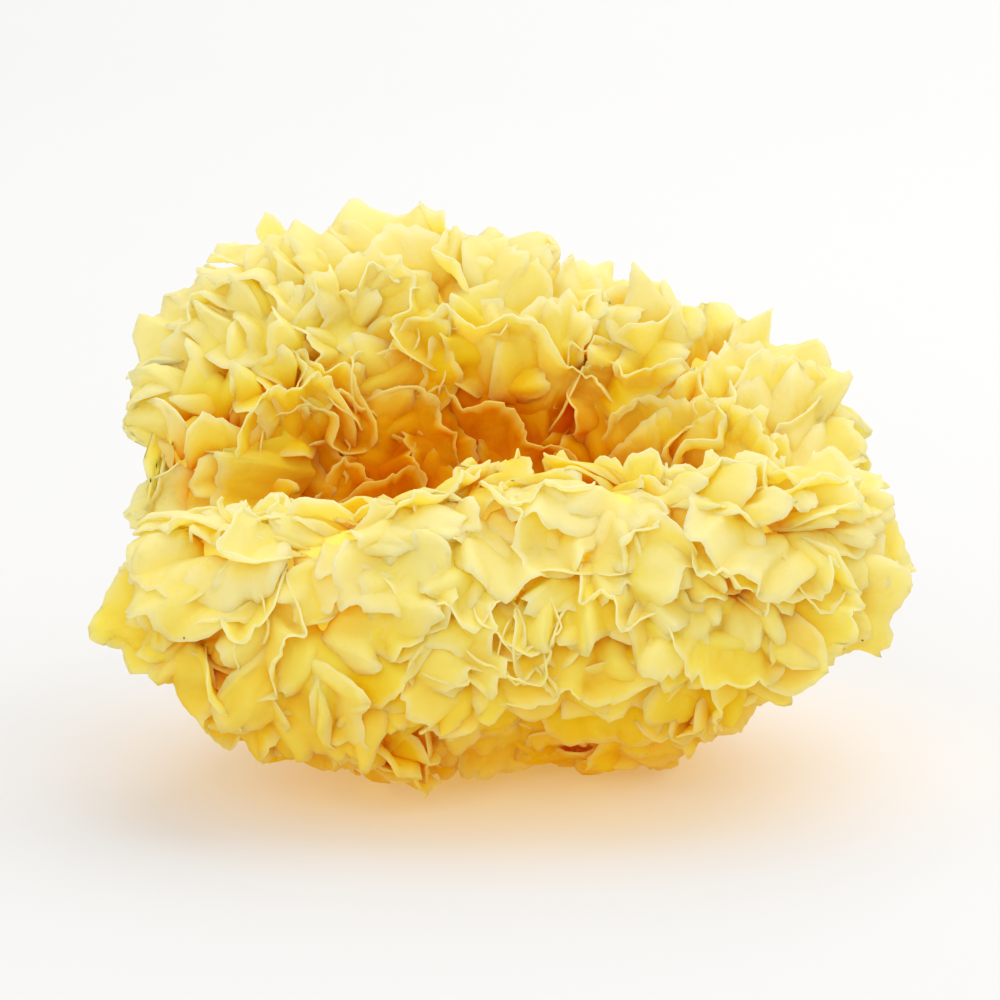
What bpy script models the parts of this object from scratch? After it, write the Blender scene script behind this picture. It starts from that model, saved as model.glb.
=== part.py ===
"""A dried snow fungus, whole: one fruit body that grew as a folded bowl of ruffled fronds.

The bowl rests on the fronds of its rounded underside, with its hollow up. Its low wall is in front
(-Y), its high wall behind (+Y), and the growth's base lies at the bottom of the hollow between them.
Everything grew as one piece, so the core and all its fronds are fused into one closed solid.
Metres, +Z up. The origin is under the middle of the object, on the surface that it rests on.
"""

import math

import bmesh
import bpy
import numpy as np
from mathutils import Vector, noise

MM = 0.001

# The core's section in sixteen directions, anticlockwise from +X as seen from above, in millimetres.
# Each row: direction in degrees; radius, height and half thickness of the rim's crest; radius and
# height of the outer bulge; height of the underside below the bulge; radius and height of a point
# half way down the inner wall
SECTIONS = (
    (0, 57, 55, 9, 68, 38, 26, 36, 38),
    (12, 58, 52, 9, 68, 40, 25, 36, 38),
    (30, 59, 65, 10, 66, 44, 20, 36, 42),
    (60, 51, 79, 11, 60, 52, 12, 29, 48),
    (90, 45, 86, 11, 56, 56, 10, 23, 52),
    (120, 54, 91, 11, 62, 58, 9, 28, 52),
    (145, 61, 88, 11, 67, 58, 12, 36, 48),
    (165, 62, 72, 11, 67, 58, 18, 40, 42),
    (176, 52, 45, 8, 62, 34, 19, 36, 34),
    (188, 56, 51, 9, 71, 32, 18, 36, 35),
    (205, 50, 56, 10, 68, 29, 17, 30, 36),
    (228, 32, 59, 10, 55, 28, 18, 19, 38),
    (255, 20, 60, 9, 44, 29, 18, 9, 40),
    (285, 19, 61, 9, 43, 30, 18, 9, 40),
    (315, 32, 63, 10, 54, 31, 20, 18, 40),
    (340, 52, 62, 10, 66, 33, 24, 32, 40),
)
HOLLOW_Z = 22.0  # the growth's base, at the bottom of the hollow
BELLY_Z = 3.0  # the underside's middle, above what the fronds rest on
OUTLINE_SPANS = 10  # stretches of the section's outline, from the underside's middle to the hollow
LUMP_SIZE = 26.0
LUMP_HEIGHT = 3.2
SEGMENTS, RINGS = 72, 56

# Fronds, in millimetres and degrees
FROND_COUNT = 370
FROND_SPACING = 7.2
FROND_SHARES = (0.02, 0.9)  # where they root, from the underside's middle (0) to the hollow (1)
FROND_WIDTH = (9.0, 17.0)
FROND_LENGTH = (7.0, 10.0)
FROND_LEAN = (22, 62)
FROND_SWING = 70
FROND_CURL = (0.2, 0.6)  # in radians, from root to tip
FROND_RUFFLE = (1.4, 2.8)
FROND_WAVES = (2.2, 3.8)
FROND_THICK = 2.1
FROND_ROOT = 3.0  # how deep a frond's root sits in the core
FROND_COLUMNS, FROND_ROWS = 7, 4
ROOT_WIDTH = 0.55  # a frond's width at its root, as a share of its full width
CORNER_DROP = 0.22  # how much shorter a frond is at its corners than at its middle
BELLY_SHARE, BELLY_LENGTH = 0.14, 0.7  # up to this share, fronds are shorter by this factor
SEED = 11
MOST_TRIES = 9000
WIDEST_RADIUS = 70.0

VOXEL = 1.0
TRIANGLES = 9400
FLOOR_SIDE, FLOOR_DEPTH = 300.0, 40.0  # what presses the lowest fronds flat, at height 0
SHIFT = (0.08, -6.585, 0.0)  # puts the finished object's middle over the origin

FUNGUS_COLOUR = (0.93, 0.80, 0.38, 1.0)
FUNGUS_ROUGHNESS = 0.55


def clear_scene():
    for old in list(bpy.data.objects):
        bpy.data.objects.remove(old, do_unlink=True)


def catmull(values, place):
    """The smooth curve through values, a row each, at place counted in rows. Ends are clamped."""
    last = len(values) - 1
    i = min(int(place), last - 1)
    f = place - i
    before, after = max(i - 1, 0), min(i + 2, last)
    p0, p1, p2, p3 = values[before], values[i], values[i + 1], values[after]
    return 0.5 * (
        2 * p1
        + (p2 - p0) * f
        + (2 * p0 - 5 * p1 + 4 * p2 - p3) * f**2
        + (3 * p1 - p0 - 3 * p2 + p3) * f**3
    )


def section_at(turn):
    """The eight sizes of the core's section in the direction turn, in degrees."""
    turns = [row[0] for row in SECTIONS] + [360]
    rows = np.array([row[1:] for row in SECTIONS], float)
    place = np.interp(turn % 360, turns, range(len(turns)))
    around = np.array([rows[(int(place) + k) % len(rows)] for k in range(-1, 3)])
    return catmull(around, 1 + place % 1)


def outline_of(turn):
    """Radius and height, in order, from the middle of the underside over the rim to the hollow's base."""
    rim_r, rim_z, rim_t, bulge_r, bulge_z, skirt_z, inner_r, inner_z = section_at(turn)
    return np.array(
        [
            (0, BELLY_Z),
            (0.4 * bulge_r, BELLY_Z + 0.15 * (skirt_z - BELLY_Z)),
            (0.8 * bulge_r, skirt_z),
            (bulge_r, bulge_z),
            (0.35 * bulge_r + 0.65 * (rim_r + rim_t), bulge_z + 0.62 * (rim_z - bulge_z)),
            (rim_r + 0.55 * rim_t, rim_z - 0.35 * rim_t),
            (rim_r - 0.55 * rim_t, rim_z - 0.35 * rim_t),
            (0.5 * (rim_r - rim_t + inner_r), 0.5 * (rim_z + inner_z)),
            (inner_r, inner_z),
            (0.45 * inner_r, HOLLOW_Z + 0.25 * (inner_z - HOLLOW_Z)),
            (0, HOLLOW_Z),
        ]
    )


def core_point(turn, share):
    """The core's surface in the direction turn, share 0 under its belly and 1 in its hollow, in mm."""
    radius, height = catmull(outline_of(turn), share * OUTLINE_SPANS)
    angle = math.radians(turn)
    point = Vector((radius * math.cos(angle), radius * math.sin(angle), height))
    lump = noise.noise_vector(point / LUMP_SIZE) * LUMP_HEIGHT
    return point + lump * min(1.0, 0.1 * height)


def core_frame(turn, share):
    """Point, outward normal and the tangent that runs from the hollow's base over the rim, on the core."""
    step, turn_step = 0.004, 1.5
    share = min(max(share, 0.02), 0.98)
    point = core_point(turn, share)
    around = core_point(turn + turn_step, share) - core_point(turn - turn_step, share)
    along = core_point(turn, share - step) - core_point(turn, share + step)
    normal = along.cross(around).normalized()
    return point, normal, along.normalized()


def move_vertices(bm, place):
    for vert in bm.verts:
        vert.co = place(vert.co)


def core_mesh():
    """A sphere whose rings are moved onto the bowl's section, from the belly over the rim to the hollow."""
    bm = bmesh.new()
    bmesh.ops.create_uvsphere(bm, u_segments=SEGMENTS, v_segments=RINGS, radius=1)

    def place(co):
        turn = math.degrees(math.atan2(co.y, co.x))
        share = math.acos(max(-1.0, min(1.0, -co.z))) / math.pi
        return core_point(turn, share) * MM

    move_vertices(bm, place)
    bmesh.ops.recalc_face_normals(bm, faces=bm.faces)
    return bm


def frond_places():
    """Where fronds root on the core: (turn, share) spread by area, none nearer than FROND_SPACING."""
    draw = np.random.default_rng(SEED)
    places, points = [], []
    for _ in range(MOST_TRIES):
        turn, share, keep = draw.uniform(0, 360), draw.uniform(*FROND_SHARES), draw.uniform()
        radius = catmull(outline_of(turn), share * OUTLINE_SPANS)[0]
        if keep > radius / WIDEST_RADIUS:
            continue
        point = np.array(core_point(turn, share))
        spacing = FROND_SPACING * draw.uniform(0.9, 1.15)
        if points and np.min(np.linalg.norm(np.array(points) - point, axis=1)) < spacing:
            continue
        places.append((turn, share))
        points.append(point)
        if len(places) == FROND_COUNT:
            break
    return places


def add_frond(bm, turn, share, draw):
    """A bent, ruffled sheet that flares from its root in the core."""
    root, normal, outward = core_frame(turn, share)
    width = draw.uniform(*FROND_WIDTH)
    length = draw.uniform(*FROND_LENGTH) * (BELLY_LENGTH if share < BELLY_SHARE else 1.0)
    lean = math.radians(draw.uniform(*FROND_LEAN))
    swing = math.radians(draw.uniform(-FROND_SWING, FROND_SWING))
    sideways = normal.cross(outward).normalized()
    flow = (outward * math.cos(swing) + sideways * math.sin(swing)).normalized()
    across = normal.cross(flow).normalized()
    waves, phase = draw.uniform(*FROND_WAVES), draw.uniform(0, 2 * math.pi)
    ruffle, curl = draw.uniform(*FROND_RUFFLE), draw.uniform(*FROND_CURL)
    made = bmesh.ops.create_grid(bm, x_segments=FROND_COLUMNS, y_segments=FROND_ROWS, size=1)
    for vert in made["verts"]:
        s, t = vert.co.x, 0.5 * (vert.co.y + 1)
        angle = lean + curl * t
        rise = length * t * (1 - CORNER_DROP * s * s)
        spread = 0.5 * width * (ROOT_WIDTH + (1 - ROOT_WIDTH) * t**0.6) * s
        wave = ruffle * t * math.sin(waves * s + phase)
        lift = rise * math.cos(angle) - FROND_ROOT * (1 - t)
        reach = rise * math.sin(angle)
        point = root + across * spread + normal * lift + flow * (reach + wave)
        vert.co = point * MM


def new_object(name, bm, collection):
    mesh = bpy.data.meshes.new(name)
    bm.to_mesh(mesh)
    bm.free()
    made = bpy.data.objects.new(name, mesh)
    collection.objects.link(made)
    return made


def evaluated_mesh(made):
    graph = bpy.context.evaluated_depsgraph_get()
    return bpy.data.meshes.new_from_object(made.evaluated_get(graph))


def frond_sheets(collection):
    """Every frond as a sheet of FROND_THICK, in one object."""
    draw = np.random.default_rng(SEED + 1)
    bm = bmesh.new()
    for turn, share in frond_places():
        add_frond(bm, turn, share, draw)
    made = new_object("frond_sheets", bm, collection)
    thick = made.modifiers.new("thickness", "SOLIDIFY")
    thick.thickness = FROND_THICK * MM
    thick.offset = 0
    return made


def fused_with(core, sheets, collection):
    """The core and the sheets in one object, fused into one skin by a voxel remesh."""
    joined = bmesh.new()
    joined.from_mesh(evaluated_mesh(core))
    joined.from_mesh(evaluated_mesh(sheets))
    rough = new_object("rough", joined, collection)
    fuse = rough.modifiers.new("fuse", "REMESH")
    fuse.mode = "VOXEL"
    fuse.voxel_size = VOXEL * MM
    return rough


def keep_outer_skin(mesh):
    """Removes the closed pockets and loose bits that fusing leaves, and keeps the largest surface."""
    bm = bmesh.new()
    bm.from_mesh(mesh)
    unseen = set(bm.verts)
    skins = []
    while unseen:
        skin, edge = set(), [unseen.pop()]
        while edge:
            vert = edge.pop()
            skin.add(vert)
            for link in vert.link_edges:
                other = link.other_vert(vert)
                if other in unseen:
                    unseen.remove(other)
                    edge.append(other)
        skins.append(skin)
    largest = max(skins, key=len)
    spare = [vert for vert in bm.verts if vert not in largest]
    bmesh.ops.delete(bm, geom=spare, context="VERTS")
    bm.to_mesh(mesh)
    bm.free()


def floor_block(collection):
    """A block whose top is the surface that the object rests on."""
    bm = bmesh.new()
    bmesh.ops.create_cube(bm, size=1)

    def place(co):
        return Vector((co.x * FLOOR_SIDE, co.y * FLOOR_SIDE, (co.z - 0.5) * FLOOR_DEPTH)) * MM

    move_vertices(bm, place)
    return new_object("floor_block", bm, collection)


def fungus_material():
    made = bpy.data.materials.new("dried_fungus")
    made.use_nodes = True
    shader = made.node_tree.nodes["Principled BSDF"]
    shader.inputs["Base Color"].default_value = FUNGUS_COLOUR
    shader.inputs["Roughness"].default_value = FUNGUS_ROUGHNESS
    shader.inputs["Metallic"].default_value = 0.0
    return made


def new_collection(name):
    made = bpy.data.collections.new(name)
    bpy.context.scene.collection.children.link(made)
    return made


def build():
    clear_scene()
    noise.seed_set(SEED)
    parts = new_collection("snow_fungus")
    helpers = new_collection("helpers")

    core = new_object("core", core_mesh(), helpers)
    sheets = frond_sheets(helpers)
    rough = fused_with(core, sheets, helpers)
    fused = evaluated_mesh(rough)
    keep_outer_skin(fused)
    floor = floor_block(helpers)
    for helper in (core, sheets, rough, floor):
        helper.hide_render = True
        helper.display_type = "WIRE"

    fungus = bpy.data.objects.new("fruit_body", fused)
    parts.objects.link(fungus)
    fungus.location = Vector(SHIFT) * MM
    fungus.data.materials.clear()
    fungus.data.materials.append(fungus_material())
    thin_out = fungus.modifiers.new("thin_out", "DECIMATE")
    thin_out.ratio = min(1.0, TRIANGLES / (2 * len(fused.polygons)))
    thin_out.use_collapse_triangulate = True
    press_flat = fungus.modifiers.new("press_flat", "BOOLEAN")
    press_flat.operation = "DIFFERENCE"
    press_flat.solver = "EXACT"
    press_flat.object = floor


build()
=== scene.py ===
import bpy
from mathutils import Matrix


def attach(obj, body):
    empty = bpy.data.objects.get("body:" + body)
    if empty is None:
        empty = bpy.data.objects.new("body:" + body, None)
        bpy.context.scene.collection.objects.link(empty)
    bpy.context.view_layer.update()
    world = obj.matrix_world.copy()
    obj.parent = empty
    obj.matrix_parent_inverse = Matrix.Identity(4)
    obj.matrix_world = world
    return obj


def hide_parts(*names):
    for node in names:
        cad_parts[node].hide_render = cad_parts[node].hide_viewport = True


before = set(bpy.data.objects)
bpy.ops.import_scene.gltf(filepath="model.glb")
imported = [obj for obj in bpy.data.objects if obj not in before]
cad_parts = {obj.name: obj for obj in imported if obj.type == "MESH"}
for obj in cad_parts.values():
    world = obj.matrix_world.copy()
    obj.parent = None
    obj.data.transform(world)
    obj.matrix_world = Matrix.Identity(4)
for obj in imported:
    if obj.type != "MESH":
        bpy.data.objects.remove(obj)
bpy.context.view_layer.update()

import math
from types import SimpleNamespace

import bmesh
import bpy
import numpy as np
from mathutils import Vector, noise
from mathutils.bvhtree import BVHTree

# The looks of a dried snow fungus: a folded bowl of thin, ruffled, translucent fronds.
# Metres where not said otherwise, +Z up, in the frame's own place.

MM = 0.001
SEED = 11

# The core's section in sixteen directions, as the solid has it, in millimetres.
# Each row: direction in degrees; radius, height and half thickness of the rim's crest; radius and
# height of the outer bulge; height of the underside below the bulge; radius and height of a point
# half way down the inner wall
SECTIONS = (
    (0, 57, 55, 9, 68, 38, 26, 36, 38),
    (12, 58, 52, 9, 68, 40, 25, 36, 38),
    (30, 59, 65, 10, 66, 44, 20, 36, 42),
    (60, 51, 79, 11, 60, 52, 12, 29, 48),
    (90, 45, 86, 11, 56, 56, 10, 23, 52),
    (120, 54, 91, 11, 62, 58, 9, 28, 52),
    (145, 61, 88, 11, 67, 58, 12, 36, 48),
    (165, 62, 72, 11, 67, 58, 18, 40, 42),
    (176, 52, 45, 8, 62, 34, 19, 36, 34),
    (188, 56, 51, 9, 71, 32, 18, 36, 35),
    (205, 50, 56, 10, 68, 29, 17, 30, 36),
    (228, 32, 59, 10, 55, 28, 18, 19, 38),
    (255, 20, 60, 9, 44, 29, 18, 9, 40),
    (285, 19, 61, 9, 43, 30, 18, 9, 40),
    (315, 32, 63, 10, 54, 31, 20, 18, 40),
    (340, 52, 62, 10, 66, 33, 24, 32, 40),
)
HOLLOW_Z = 22.0
BELLY_Z = 3.0
OUTLINE_SPANS = 10
LUMP_SIZE = 26.0
LUMP_HEIGHT = 3.2
SHIFT = np.array((0.08, -6.585, 0.0))
CORE_TURNS, CORE_SHARES = 144, 113
CORE_LIGHT = 0.3  # stands in for the light that comes through a body of folded fronds
CORE_SINK = 2.5  # the shell lies this far under the solid's core

# Fronds, in millimetres and degrees, by their share of the way from the underside's middle (0) to
# the hollow's base (1). Each row: share, width, length, lean at the root, lean at the tip, swing,
# height of a fold, distance between folds
FROND_BY_SHARE = (
    (0.00, 15, 8.0, 40, 92, 90, 0.8, 12),
    (0.20, 16, 8.0, 50, 92, 80, 1.4, 9.5),
    (0.35, 16, 11.5, 44, 89, 75, 1.9, 8.5),
    (0.46, 14.5, 11.0, 24, 80, 75, 1.9, 8),
    (0.54, 14, 10.5, 18, 72, 90, 1.9, 8),
    (0.62, 15, 10.0, 18, 74, 120, 2.2, 8),
    (0.72, 19, 12.0, 30, 82, 110, 2.0, 9),
    (0.82, 26, 15.0, 45, 90, 90, 1.2, 14),
    (0.98, 24, 12.0, 45, 90, 90, 1.0, 16),
)
FROND_COUNT = 1010
FROND_SPACING = 4.35
FROND_SHARES = (0.03, 0.97)
COLUMN_WIDTH, FROND_ROWS, LEAST_COLUMNS = 0.82, 9, 13
FROND_THICK = 0.32
FROND_ROOT = 3.0  # how deep a frond's root sits under the core's surface
# Where fronds differ from that: turns from and to, shares from and to, then what their size and
# length are multiplied by, and how much further they lean
ZONES = (
    (164, 196, 0.00, 1.00, 0.85, 0.95, 6),
    (150, 171, 0.33, 0.50, 1.0, 1.2, -5),
    (336, 360, 0.18, 0.46, 1.0, 0.8, 10),
    (0, 14, 0.18, 0.46, 1.0, 0.8, 10),
    (196, 318, 0.50, 0.75, 1.0, 0.8, 22),
    (222, 318, 0.43, 0.50, 1.0, 0.8, 22),
    (198, 222, 0.41, 0.50, 1.0, 1.2, -12),
    (312, 335, 0.42, 0.53, 0.9, 1.3, -14),
    (198, 240, 0.14, 0.32, 1.0, 1.4, -18),
    (305, 360, 0.12, 0.36, 1.0, 1.1, -12),
    (56, 86, 0.44, 0.60, 1.0, 0.85, 10),
    (86, 104, 0.44, 0.60, 1.1, 1.1, -12),
    (124, 150, 0.44, 0.60, 1.0, 1.05, -5),
    (0, 25, 0.40, 0.66, 1.0, 0.75, 14),
    (25, 36, 0.42, 0.60, 1.0, 1.15, -9),
    (36, 56, 0.42, 0.60, 1.0, 1.1, -6),
    (50, 130, 0.70, 0.92, 1.45, 1.05, 18),
)

# What each frond draws for itself: what its size, width, length, fold and distance between folds are
# multiplied by, how far its lean is off, how much wider its rim is than its root, and its tip's curl
SIZE_SPREAD = (0.6, 1.4)
WIDTH_SPREAD = (0.8, 1.2)
LENGTH_SPREAD = (0.85, 1.15)
SPACING_SPREAD = (0.85, 1.15)
FOLD_SPREAD = (0.5, 1.4)
GAP_SPREAD = (0.75, 1.35)
LEAN_SPREAD = 12
FLARE = (1.1, 1.55)
CURLS, CURL_SPREAD = (0.0, 0.2, 0.5, -0.7, -1.3), (0.6, 1.3)
NOISE_REACH = 500  # how far apart fronds may read the noise

# Size and height, in millimetres, of a torn rim's lobes, teeth and nicks, of a frond's creases, and
# of each scale of the crumpling that neighbouring fronds share
LOBES, TEETH, NICKS = (4.5, 3.6), (1.5, 1.1), (0.9, 0.6)
CREASE_SIZE, CREASE_HEIGHT = 5.5, 1.9
CRUMPLES = ((16.0, 2.2), (7.0, 1.5), (2.8, 0.3))
EDGE_WIDTH = 0.8
BURIED_DEPTH = 7.0
FLOOR_REACH = 2.5
FLOOR_GAP = 0.26
PIECES = 6

# Painted shade: the warm, darker colour deep in the hollow and low on the underside, where shade falls
# and light has passed through many fronds, in millimetres
HOLLOW_SHADE_CENTRE = np.array((-6.0, 8.0, 43.0))
HOLLOW_SHADE_RADII = np.array((34.0, 26.0, 22.0))
HOLLOW_SHADE_END, HOLLOW_SHADE_FADE = 1.9, 1.15  # in radii
HOLLOW_SHADE_SHARE = 0.55
UNDER_Z, UNDER_SPAN = 50.0, 40.0
# painted shade: how much warmer the colour gets low down, near a frond's root and under other fronds
UNDER_SHADE, ROOT_SHADE, BURIED_SHADE = 0.46, 0.2, 0.55
OUTSIDE_LIMIT = 0.78
# The paler colour of some fronds at random, and a painted highlight on those of the crest, where the
# light falls from above
PALE_SPREAD, CREST_HIGHLIGHT = 0.8, 0.6
CREST_SHARE, CREST_WIDTH = 0.48, 0.08

# Colours from the palest (0) to the warmest (1), the warm end being painted shade, then of pale fronds
# and the painted crest highlight, torn rims and specks
FUNGUS_COLOURS = (
    (0.0, (0.998, 0.905, 0.27)),
    (0.25, (0.997, 0.85, 0.08)),
    (0.5, (0.99, 0.70, 0.008)),
    (0.75, (0.94, 0.44, 0.001)),
    (1.0, (0.82, 0.2, 0.0)),
)
PALE_COLOUR, PALE_AMOUNT = (0.998, 0.95, 0.56), 0.4
RIM_COLOUR, RIM_AMOUNT = (0.998, 0.95, 0.58), 0.65
SPECK_COLOUR, SPECK_SIZE, SPECK_LIMIT = (0.30, 0.16, 0.05), 0.07, 0.9
FROND_THROUGH, CORE_THROUGH = 0.55, 0.1  # the share of light that passes through

# The sweep, in metres: its front and back edges, the bend's radius, height and half width
SWEEP_FRONT, SWEEP_BACK, SWEEP_BEND, SWEEP_HEIGHT, SWEEP_HALF = -1.2, 1.4, 0.7, 2.2, 2.6
BEND_STEPS = 16
SWEEP_COLOURS = ((0.63, 0.626, 0.612), (0.645, 0.641, 0.627))
# The painted pool of warm light on the floor under the fungus: how far it reaches along each axis in
# metres, colour and strength
PAINTED_GLOW_REACH = (0.11, 0.095, 0.1)
PAINTED_GLOW_COLOUR = (1.0, 0.55, 0.1)
PAINTED_GLOW_STRENGTH = 0.33

WORLD_STRENGTH = 0.85
TONE_MARKS = (0.03, 0.08, 0.16, 0.3, 0.5, 0.75)

CAMERA_ELEVATION = 15.0
CAMERA_DISTANCE = 0.85
CAMERA_TARGET = Vector((-0.0027, -0.0066, 0.051))
CAMERA_SPAN = 0.184
SENSOR = 36.0


def catmull(values, places):
    """The smooth curve through values, a row each, at places counted in rows. Ends are clamped."""
    last = len(values) - 1
    i = np.minimum(places.astype(int), last - 1)
    f = (places - i)[:, None]
    p0, p1, p2, p3 = (values[np.clip(i + k, 0, last)] for k in (-1, 0, 1, 2))
    return 0.5 * (
        2 * p1
        + (p2 - p0) * f
        + (2 * p0 - 5 * p1 + 4 * p2 - p3) * f**2
        + (3 * p1 - p0 - 3 * p2 + p3) * f**3
    )


def sections_at(turns):
    """The eight sizes of the core's section in each of the directions turns, in degrees."""
    rows = np.array([row[1:] for row in SECTIONS], float)
    marks = [row[0] for row in SECTIONS] + [360]
    around = np.concatenate([rows[-1:], rows, rows[:2]])
    return catmull(around, 1 + np.interp(turns, marks, range(len(marks))))


def outline_of(section):
    """Radius and height from the underside's middle, over the rim, to the hollow's base."""
    rim_r, rim_z, rim_t, bulge_r, bulge_z, skirt_z, inner_r, inner_z = section
    return np.array(
        [
            (0, BELLY_Z),
            (0.4 * bulge_r, BELLY_Z + 0.15 * (skirt_z - BELLY_Z)),
            (0.8 * bulge_r, skirt_z),
            (bulge_r, bulge_z),
            (0.35 * bulge_r + 0.65 * (rim_r + rim_t), bulge_z + 0.62 * (rim_z - bulge_z)),
            (rim_r + 0.55 * rim_t, rim_z - 0.35 * rim_t),
            (rim_r - 0.55 * rim_t, rim_z - 0.35 * rim_t),
            (0.5 * (rim_r - rim_t + inner_r), 0.5 * (rim_z + inner_z)),
            (inner_r, inner_z),
            (0.45 * inner_r, HOLLOW_Z + 0.25 * (inner_z - HOLLOW_Z)),
            (0, HOLLOW_Z),
        ]
    )


def unit(vectors):
    return vectors / np.maximum(np.linalg.norm(vectors, axis=-1, keepdims=True), 1e-9)


class Core:
    """The body that the fronds root in: a grid of points in mm by turn and share, with their frames."""

    def __init__(self):
        turns = np.arange(CORE_TURNS) * 360.0 / CORE_TURNS
        self.shares = np.linspace(0, 1, CORE_SHARES)
        self.points = np.empty((CORE_TURNS, CORE_SHARES, 3))
        for k, (turn, section) in enumerate(zip(np.radians(turns), sections_at(turns))):
            radius, height = catmull(outline_of(section), self.shares * OUTLINE_SPANS).T
            row = np.stack([radius * math.cos(turn), radius * math.sin(turn), height], 1)
            lumps = np.array([noise.noise_vector(Vector(point) / LUMP_SIZE) for point in row])
            self.points[k] = row + lumps * LUMP_HEIGHT * np.minimum(1, 0.1 * height)[:, None]
        around = np.roll(self.points, -1, 0) - np.roll(self.points, 1, 0)
        outward = -np.gradient(self.points, axis=1)
        normal = np.cross(outward, around)
        self.area = np.linalg.norm(normal, axis=2)
        self.outward, self.normal = unit(outward), unit(normal)
        grid = np.arange(CORE_TURNS * CORE_SHARES).reshape(CORE_TURNS, CORE_SHARES)
        after = np.roll(grid, -1, 0)
        quads = np.stack([grid[:, :-1], after[:, :-1], after[:, 1:], grid[:, 1:]], -1)
        self.faces = quads.reshape(-1, 4).tolist()
        self.corner = quads.reshape(-1, 4)[:, 0]
        self.tree = BVHTree.FromPolygons(self.points.reshape(-1, 3).tolist(), self.faces)

    def near(self, places):
        """The surface's nearest point to each of places, its outward direction and number there."""
        found = [self.tree.find_nearest(place) for place in places.tolist()]
        points = np.array([hit[0] for hit in found])
        cells = np.array([self.corner[hit[2]] for hit in found])
        return points, self.normal.reshape(-1, 3)[cells], cells


def frond_places(core):
    """Where fronds root on the core: (turn, share) numbers in its grid, none too near to another."""
    draw = np.random.default_rng(SEED + 20)
    low, high = FROND_SHARES
    weight = core.area * ((core.shares > low) & (core.shares < high))
    order = draw.choice(weight.size, weight.size, replace=False)
    order = order[draw.uniform(0, weight.max(), weight.size) < weight.ravel()[order]]
    places, points = [], np.full((FROND_COUNT, 3), 1e6)
    for number in order:
        point = core.points.reshape(-1, 3)[number]
        spacing = FROND_SPACING * draw.uniform(*SPACING_SPREAD)
        if np.linalg.norm(points - point, axis=1).min() > spacing:
            points[len(places)] = point
            places.append(divmod(int(number), CORE_SHARES))
            if len(places) == FROND_COUNT:
                break
    return sorted(places)


def ragged(along, draw):
    """A torn free edge's height over its mean, in mm, at distances along it in mm."""
    start = Vector((draw.uniform(0, NOISE_REACH), 0.5, 0.5))
    height = []
    for x in along:
        place = start + Vector((x, 0, 0))
        lobe = abs(noise.noise(place / LOBES[0])) - 0.3
        tooth = 0.3 - abs(noise.noise(place / TEETH[0]))
        nick = noise.noise(place / NICKS[0])
        height.append(LOBES[1] * lobe + TEETH[1] * tooth + NICKS[1] * nick)
    return np.array(height)


def creased(along, out, draw):
    """The height of sharp creases over a frond's mean, at distances along and out in mm."""
    start = draw.uniform(0, NOISE_REACH)
    rows = []
    for y in out:
        places = [Vector((start + x / CREASE_SIZE, y / CREASE_SIZE, 0.5)) for x in along]
        rows.append([abs(noise.noise(place)) - 0.2 for place in places])
    return draw.choice([-1, 1]) * CREASE_HEIGHT * np.array(rows)


def frond_kind(turn, share, draw):
    """A frond's own sizes, in mm and radians, where it roots at turn, in degrees, and share."""
    rows = np.array(FROND_BY_SHARE)
    width, length, root_lean, tip_lean, swing, fold, gap = (
        np.interp(share, rows[:, 0], rows[:, k]) for k in range(1, 8)
    )
    size = draw.uniform(*SIZE_SPREAD)
    for turn_from, turn_to, share_from, share_to, larger, longer, over in ZONES:
        if turn_from < turn < turn_to and share_from < share < share_to:
            size *= larger
            length *= longer
            root_lean += 0.6 * over
            tip_lean += over
    return SimpleNamespace(
        width=width * (size * draw.uniform(*WIDTH_SPREAD)),
        length=length * (size**0.5 * draw.uniform(*LENGTH_SPREAD)),
        root_lean=math.radians(root_lean),
        tip_lean=math.radians(tip_lean + draw.uniform(-LEAN_SPREAD, LEAN_SPREAD)),
        swing=math.radians(draw.uniform(-swing, swing)),
        fold=fold * draw.uniform(*FOLD_SPREAD),
        gap=gap,
        wave=2 * math.pi / (gap * draw.uniform(*GAP_SPREAD)),
        flare=draw.uniform(*FLARE),
    )


def frond_form(kind, draw):
    """Each grid point's distance aside, ahead and above its root, and from the free rim, in mm."""
    columns = max(LEAST_COLUMNS, int(kind.width * kind.flare / COLUMN_WIDTH))
    s = np.linspace(-1, 1, columns)
    t = np.linspace(0, 1, FROND_ROWS)[:, None]
    along = 0.5 * kind.width * s
    phase, phase_2 = draw.uniform(0, 2 * math.pi, 2)
    meander = 0.1 * kind.gap * np.sin(kind.wave * along + phase + 1.2)
    meander = meander - 0.12 * kind.width * s * s
    reach = 0.8 * np.sqrt(np.clip(1 - np.abs(s) ** 3.2, 0, 1)) + 0.2
    torn = ragged(along * kind.flare, draw)
    reach = kind.length * reach + torn * np.clip(1.3 - np.abs(s), 0, 1)
    curl = draw.choice(CURLS) * draw.uniform(*CURL_SPREAD)
    lean = kind.root_lean + (kind.tip_lean - kind.root_lean) * t**0.7
    lean = lean + curl * np.clip((t - 0.6) / 0.4, 0, 1) ** 2
    swell = np.sin(kind.wave * along + phase) + 0.35 * np.sin(2.1 * kind.wave * along + phase_2)
    crease = creased(along * kind.flare, kind.length * t[:, 0], draw)
    swell = kind.fold * swell * t**1.3 + crease * t
    step = (reach + FROND_ROOT) / (FROND_ROWS - 1) * (t > 0)
    aside = along * (1 + (kind.flare - 1) * t**1.2)
    ahead = np.cumsum(np.sin(lean) * step, axis=0) - swell * np.cos(lean) + meander
    rise = np.cumsum(np.cos(lean) * step, axis=0) + swell * np.sin(lean) - FROND_ROOT
    rim = np.minimum((1 - t) * reach, (1 - np.abs(s)) * 0.5 * kind.width * kind.flare)
    return aside, ahead, rise, rim


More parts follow.
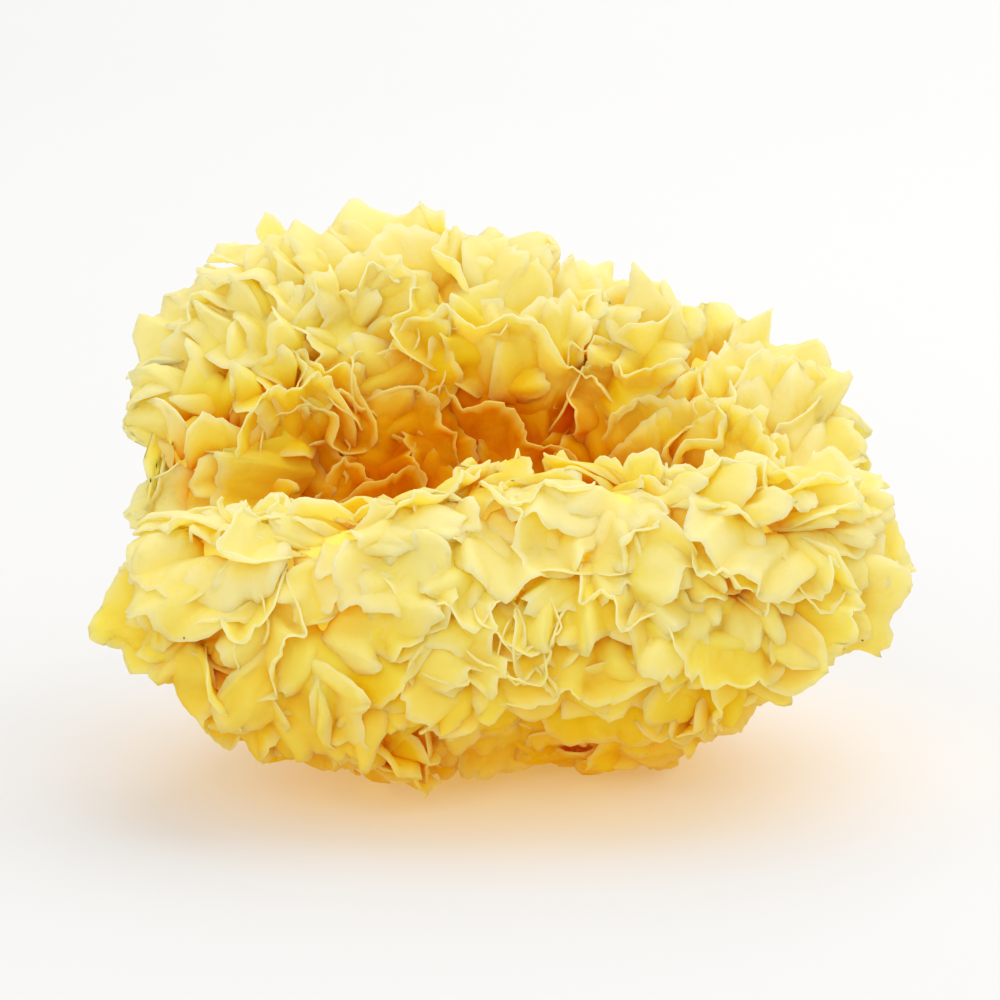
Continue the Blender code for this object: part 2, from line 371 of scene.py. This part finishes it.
def frond_sheet(core, place, draw):
    """One folded sheet on the core: its grid of points in mm, and what its colour needs at each."""
    root, normal, outward = (part[place] for part in (core.points, core.normal, core.outward))
    share = core.shares[place[1]]
    kind = frond_kind(place[0] * 360 / CORE_TURNS, share, draw)
    flow = outward * math.cos(kind.swing) + np.cross(normal, outward) * math.sin(kind.swing)
    across = np.cross(normal, flow)
    aside, ahead, rise, rim = frond_form(kind, draw)
    flat = root + across * aside[..., None] + flow * ahead[..., None]
    base, up, cells = core.near(flat.reshape(-1, 3))
    whole = np.ones_like(rim)
    pale = PALE_SPREAD * draw.uniform(0, 1)
    # painted highlight: the fronds on the crest are paler, where the light falls on the top
    pale += CREST_HIGHLIGHT * math.exp(-(((share - CREST_SHARE) / CREST_WIDTH) ** 2))
    return {
        "points": (base + up * rise.reshape(-1, 1)).reshape(flat.shape),
        "edge": np.exp(-((rim / EDGE_WIDTH) ** 2)),
        # deep runs from 1 at the root to 0 at the rim, and sets painted shade near the root, under
        # other fronds
        "deep": np.linspace(1, 0, FROND_ROWS)[:, None] ** 1.5 * whole,
        "inner": whole * (share > HOLLOW_SHADE_SHARE),
        "tone": whole * pale,
        "rise": rise,
        "cell": cells.reshape(whole.shape),
    }


def bury(sheets):
    """Adds how far each point lies under the outermost fronds over the same spot, from 0 to 1, which
    sets painted shade there.
    """
    top = np.zeros(CORE_TURNS * CORE_SHARES)
    for sheet in sheets:
        np.maximum.at(top, sheet["cell"].ravel(), sheet["rise"].ravel())
    top = top.reshape(CORE_TURNS, CORE_SHARES)
    for axis in (0, 1):
        top = (np.roll(top, -1, axis) + top + np.roll(top, 1, axis)) / 3
    for sheet in sheets:
        under = top.ravel()[sheet["cell"]] - sheet["rise"]
        sheet["buried"] = np.clip(under / BURIED_DEPTH, 0, 1)


def crumpled(points):
    """The points, in mm, moved by folds that neighbouring fronds share, and kept above the floor."""
    moved = np.empty_like(points)
    for i, xyz in enumerate(points):
        point = Vector(xyz)
        shift = Vector()
        for size, height in CRUMPLES:
            shift += noise.noise_vector(point / size) * height
        moved[i] = point + shift
    moved += SHIFT
    z = moved[:, 2]
    low = z < FLOOR_REACH
    span = FLOOR_REACH - FLOOR_GAP
    moved[low, 2] = FLOOR_GAP + span * np.exp((z[low] - FLOOR_REACH) / span)
    return moved


def warmth_of(points, inner, deep, buried, edge):
    """Painted shade: how far each point's colour has gone from pale yellow (0) to the hollow's orange
    (1), more deep in the hollow, low down, near the root and under other fronds.
    """
    away = np.linalg.norm((points - HOLLOW_SHADE_CENTRE) / HOLLOW_SHADE_RADII, axis=1)
    hollow = inner * np.clip((HOLLOW_SHADE_END - away) / HOLLOW_SHADE_FADE, 0, 1)
    hollow = hollow * (0.85 + 0.15 * buried) * (1 - 0.25 * edge)
    under = UNDER_SHADE * np.clip((UNDER_Z - points[:, 2]) / UNDER_SPAN, 0, 1)
    warmth = np.maximum(hollow, under) + ROOT_SHADE * deep + BURIED_SHADE * buried
    return np.clip(warmth, 0, np.where(hollow > under, 1, OUTSIDE_LIMIT))


def sheet_faces(sheets):
    """The faces of the sheets' grids, as rows of four point numbers."""
    first, faces = 0, []
    for sheet in sheets:
        shape = sheet["edge"].shape
        grid = first + np.arange(shape[0] * shape[1]).reshape(shape)
        faces.append(np.stack([grid[:-1, :-1], grid[:-1, 1:], grid[1:, 1:], grid[1:, :-1]], -1))
        first += grid.size
    return np.concatenate([quads.reshape(-1, 4) for quads in faces])


def new_object(name, mesh):
    made = bpy.data.objects.new(name, mesh)
    bpy.context.scene.collection.objects.link(made)
    return made


def add_values(mesh, **values):
    for name, numbers in values.items():
        layer = mesh.attributes.new(name, "FLOAT", "POINT")
        layer.data.foreach_set("value", np.asarray(numbers, np.float32))


def frond_piece(name, sheets, material):
    """Fronds joined in one mesh, and given their thickness."""
    points, edge, deep, inner, tone, buried = (
        np.concatenate([sheet[key].reshape(-1, *sheet[key].shape[2:]) for sheet in sheets])
        for key in ("points", "edge", "deep", "inner", "tone", "buried")
    )
    points = crumpled(points)
    mesh = bpy.data.meshes.new(name)
    mesh.from_pydata((points * MM).tolist(), [], sheet_faces(sheets).tolist())
    warmth = warmth_of(points, inner, deep, buried, edge)
    add_values(mesh, edge=edge, tone=tone, warmth=warmth)
    mesh.shade_smooth()
    mesh.materials.append(material)
    made = new_object(name, mesh)
    thick = made.modifiers.new("thickness", "SOLIDIFY")
    thick.thickness = FROND_THICK * MM
    thick.offset = 0
    return made


def core_shell(core, material):
    """The closed body that the fronds root in, a little under their roots."""
    points = (core.points - core.normal * CORE_SINK).reshape(-1, 3) + SHIFT
    inner = np.tile(core.shares > HOLLOW_SHADE_SHARE, CORE_TURNS)
    mesh = bpy.data.meshes.new("core")
    mesh.from_pydata((points * MM).tolist(), [], core.faces)
    # painted shade: the core is coloured as if partly under fronds and near their roots
    warmth = warmth_of(points, inner, deep=0.3, buried=0.6, edge=0.0)
    level = np.ones(len(points))
    add_values(mesh, edge=0.0 * level, tone=0.5 * level, warmth=warmth)
    bm = bmesh.new()
    bm.from_mesh(mesh)
    bmesh.ops.remove_doubles(bm, verts=bm.verts, dist=0.02 * MM)
    bmesh.ops.recalc_face_normals(bm, faces=bm.faces)
    bm.to_mesh(mesh)
    bm.free()
    mesh.shade_smooth()
    mesh.materials.append(material)
    return new_object("core", mesh)


class Nodes:
    """A short way to add and link a material's nodes."""

    def __init__(self, name):
        self.material = bpy.data.materials.new(name)
        self.material.use_nodes = True
        self.tree = self.material.node_tree
        self.tree.nodes.clear()

    def add(self, kind, inputs=None, **settings):
        node = self.tree.nodes.new(kind)
        for key, value in settings.items():
            setattr(node, key, value)
        for key, value in (inputs or {}).items():
            if isinstance(value, bpy.types.NodeSocket):
                self.tree.links.new(value, node.inputs[key])
            else:
                node.inputs[key].default_value = value
        return node

    def ramp(self, factor, stops):
        node = self.add("ShaderNodeValToRGB", {"Fac": factor})
        elements = node.color_ramp.elements
        elements[0].position, elements[1].position = stops[0][0], stops[-1][0]
        for place, _ in stops[1:-1]:
            elements.new(place)
        for element, (_, colour) in zip(elements, stops):
            element.color = (*colour, 1)
        return node.outputs["Color"]

    def mix(self, factor, a, b):
        node = self.add("ShaderNodeMix", data_type="RGBA")
        for socket, value in ((0, factor), (6, a), (7, b)):
            if isinstance(value, bpy.types.NodeSocket):
                self.tree.links.new(value, node.inputs[socket])
            else:
                node.inputs[socket].default_value = (*value, 1) if socket else value
        return node.outputs[2]

    def value(self, operation, a, b=0.0, clamp=False):
        node = self.add("ShaderNodeMath", operation=operation, use_clamp=clamp)
        for socket, value in enumerate((a, b)):
            if isinstance(value, bpy.types.NodeSocket):
                self.tree.links.new(value, node.inputs[socket])
            else:
                node.inputs[socket].default_value = value
        return node.outputs[0]

    def attribute(self, name):
        return self.add("ShaderNodeAttribute", attribute_name=name).outputs["Fac"]

    def noise(self, scale, detail=2.0):
        place = self.add("ShaderNodeTexCoord").outputs["Object"]
        return self.add(
            "ShaderNodeTexNoise", {"Vector": place, "Scale": scale, "Detail": detail}
        ).outputs["Fac"]


def fungus_colour(nodes, warm, cool):
    """Pale yellow to orange as the painted shade gets warm; where cool, paler fronds, the painted crest
    highlight and rims; a few brown specks.
    """
    edge, tone = (nodes.attribute(key) for key in ("edge", "tone"))
    pale = nodes.value("MULTIPLY", cool, nodes.value("MULTIPLY", tone, PALE_AMOUNT))
    colour = nodes.mix(pale, nodes.ramp(warm, FUNGUS_COLOURS), PALE_COLOUR)
    rim = nodes.value("MULTIPLY", cool, nodes.value("MULTIPLY", edge, RIM_AMOUNT))
    colour = nodes.mix(rim, colour, RIM_COLOUR)
    place = nodes.add("ShaderNodeTexCoord").outputs["Object"]
    cells = nodes.add("ShaderNodeTexVoronoi", {"Vector": place, "Scale": 240.0}).outputs
    dot = nodes.value("LESS_THAN", cells["Distance"], SPECK_SIZE)
    few = nodes.value("GREATER_THAN", cells["Color"], SPECK_LIMIT)
    return nodes.mix(nodes.value("MULTIPLY", dot, few), colour, SPECK_COLOUR)


def fungus_bump(nodes):
    """Wrinkles a few millimetres across, and a fine grain on them."""
    wrinkles = {"Height": nodes.noise(190.0, 4.0), "Strength": 0.55, "Distance": 0.0016}
    wrinkles = nodes.add("ShaderNodeBump", wrinkles).outputs["Normal"]
    grain = {"Height": nodes.noise(700.0, 3.0), "Strength": 0.2, "Distance": 0.0003}
    return nodes.add("ShaderNodeBump", {**grain, "Normal": wrinkles}).outputs["Normal"]


def fungus_material(name, through, passed=0.0):
    """Thin dried jelly with a dull skin, lit from within as strongly as passed says."""
    nodes = Nodes(name)
    cloud = nodes.noise(55.0)
    uneven = nodes.value("MULTIPLY", nodes.value("SUBTRACT", cloud, 0.5), 0.3)
    # warm is the painted shade of the attribute plus a random uneven tone; cool is where there is
    # little of it
    warm = nodes.value("ADD", nodes.attribute("warmth"), uneven)
    cool = nodes.value("SUBTRACT", 1.0, nodes.value("MULTIPLY", warm, 1.25), clamp=True)
    colour = fungus_colour(nodes, warm, cool)
    bump = fungus_bump(nodes)
    rough = nodes.value("ADD", nodes.value("MULTIPLY", cloud, 0.2), 0.4)
    skin = nodes.add(
        "ShaderNodeBsdfPrincipled",
        {
            "Base Color": colour,
            "Roughness": rough,
            "Normal": bump,
            "Specular IOR Level": 0.02,
            "Emission Color": colour,
            "Emission Strength": nodes.value("MULTIPLY", cool, passed),
        },
    )
    glow = nodes.add("ShaderNodeBsdfTranslucent", {"Color": colour, "Normal": bump})
    both = nodes.add("ShaderNodeMixShader", {0: through, 1: skin.outputs[0], 2: glow.outputs[0]})
    nodes.add("ShaderNodeOutputMaterial", {"Surface": both.outputs[0]})
    return nodes.material


def fungus():
    material = fungus_material("dried_fungus", FROND_THROUGH)
    inner = fungus_material("fungus_core", CORE_THROUGH, CORE_LIGHT)
    draw = np.random.default_rng(SEED + 21)
    core = Core()
    sheets = [frond_sheet(core, place, draw) for place in frond_places(core)]
    bury(sheets)
    pieces = [core_shell(core, inner)]
    for k in range(PIECES):
        first, last = (len(sheets) * n // PIECES for n in (k, k + 1))
        pieces.append(frond_piece(f"fronds_{k + 1}", sheets[first:last], material))
    for piece in pieces:
        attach(piece, "root")
        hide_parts("fruit_body")


def sweep_material():
    """Matt white, with a painted pool of warm, glowing light on the floor under the fungus, in place of
    the light that comes through it.
    """
    nodes = Nodes("white_sweep")
    cloud = nodes.noise(3.0)
    colour = nodes.mix(cloud, *SWEEP_COLOURS)
    place = nodes.add("ShaderNodeTexCoord").outputs["Object"]
    scale = [1 / reach for reach in PAINTED_GLOW_REACH]
    away = nodes.add("ShaderNodeVectorMath", {0: place, 1: scale}, operation="MULTIPLY")
    away = nodes.add("ShaderNodeVectorMath", {0: away.outputs[0]}, operation="LENGTH")
    # painted light: a warm glow that fades away from the fungus
    fade = {"Value": away.outputs["Value"], "From Min": 0.3, "To Min": 1.0, "To Max": 0.0}
    glow = nodes.add("ShaderNodeMapRange", fade, interpolation_type="SMOOTHERSTEP").outputs["Result"]
    skin = nodes.add(
        "ShaderNodeBsdfPrincipled",
        {
            "Base Color": colour,
            "Roughness": 0.7,
            "Emission Color": (*PAINTED_GLOW_COLOUR, 1),
            "Emission Strength": nodes.value("MULTIPLY", glow, PAINTED_GLOW_STRENGTH),
        },
    )
    nodes.add("ShaderNodeOutputMaterial", {"Surface": skin.outputs[0]})
    return nodes.material


def sweep():
    """A pale floor that curves up into the backdrop."""
    start = SWEEP_BACK - SWEEP_BEND
    profile = [(SWEEP_FRONT, 0.0), (start, 0.0)]
    for k in range(1, BEND_STEPS + 1):
        a = math.pi / 2 * k / BEND_STEPS
        profile.append((start + SWEEP_BEND * math.sin(a), SWEEP_BEND - SWEEP_BEND * math.cos(a)))
    profile.append((SWEEP_BACK, SWEEP_HEIGHT))
    points = [(x, y, z) for x in (-SWEEP_HALF, SWEEP_HALF) for y, z in profile]
    n = len(profile)
    faces = [(k, k + 1, n + k + 1, n + k) for k in range(n - 1)]
    mesh = bpy.data.meshes.new("sweep")
    mesh.from_pydata(points, [], faces)
    mesh.shade_smooth()
    mesh.materials.append(sweep_material())
    new_object("sweep", mesh)


def area_light(name, place, aim, size, power):
    light = bpy.data.lights.new(name, "AREA")
    light.shape = "SQUARE"
    light.size = size
    light.energy = power
    made = bpy.data.objects.new(name, light)
    bpy.context.scene.collection.objects.link(made)
    made.location = place
    made.rotation_mode = "QUATERNION"
    made.rotation_quaternion = (Vector(aim) - Vector(place)).to_track_quat("-Z", "Y")


def studio():
    area_light("top", place=(0.35, 0.45, 1.0), aim=(0, 0, 0.03), size=1.4, power=12.5)
    area_light("front", place=(-0.4, -1.3, 0.8), aim=(0, 0, 0.05), size=1.0, power=4.5)
    world = bpy.data.worlds.new("studio")
    world.use_nodes = True
    background = world.node_tree.nodes["Background"]
    background.inputs["Color"].default_value = (1, 1, 1, 1)
    background.inputs["Strength"].default_value = WORLD_STRENGTH
    bpy.context.scene.world = world


def camera():
    cam = bpy.data.cameras.new("camera")
    cam.sensor_width = SENSOR
    cam.lens = SENSOR * CAMERA_DISTANCE / CAMERA_SPAN
    made = bpy.data.objects.new("camera", cam)
    bpy.context.scene.collection.objects.link(made)
    rise = math.radians(CAMERA_ELEVATION)
    back = Vector((0, -math.cos(rise), math.sin(rise)))
    made.location = CAMERA_TARGET + back * CAMERA_DISTANCE
    made.rotation_mode = "QUATERNION"
    made.rotation_quaternion = (-back).to_track_quat("-Z", "Y")
    bpy.context.scene.camera = made


def light_paths():
    """Many soft bounces, and a tone curve with a soft shoulder, 2x / (1 + x), as a camera's."""
    scene = bpy.context.scene
    view = scene.view_settings
    view.view_transform = "Standard"
    view.use_curve_mapping = True
    points = view.curve_mapping.curves[3].points
    for x in TONE_MARKS:
        points.new(x, 2 * x / (1 + x))
    view.curve_mapping.update()
    cycles = scene.cycles
    cycles.max_bounces = 16
    cycles.diffuse_bounces = 14
    cycles.transmission_bounces = 14
    cycles.adaptive_threshold = 0.05
    cycles.use_denoising = True


noise.seed_set(SEED)
camera()
fungus()
sweep()
studio()
light_paths()
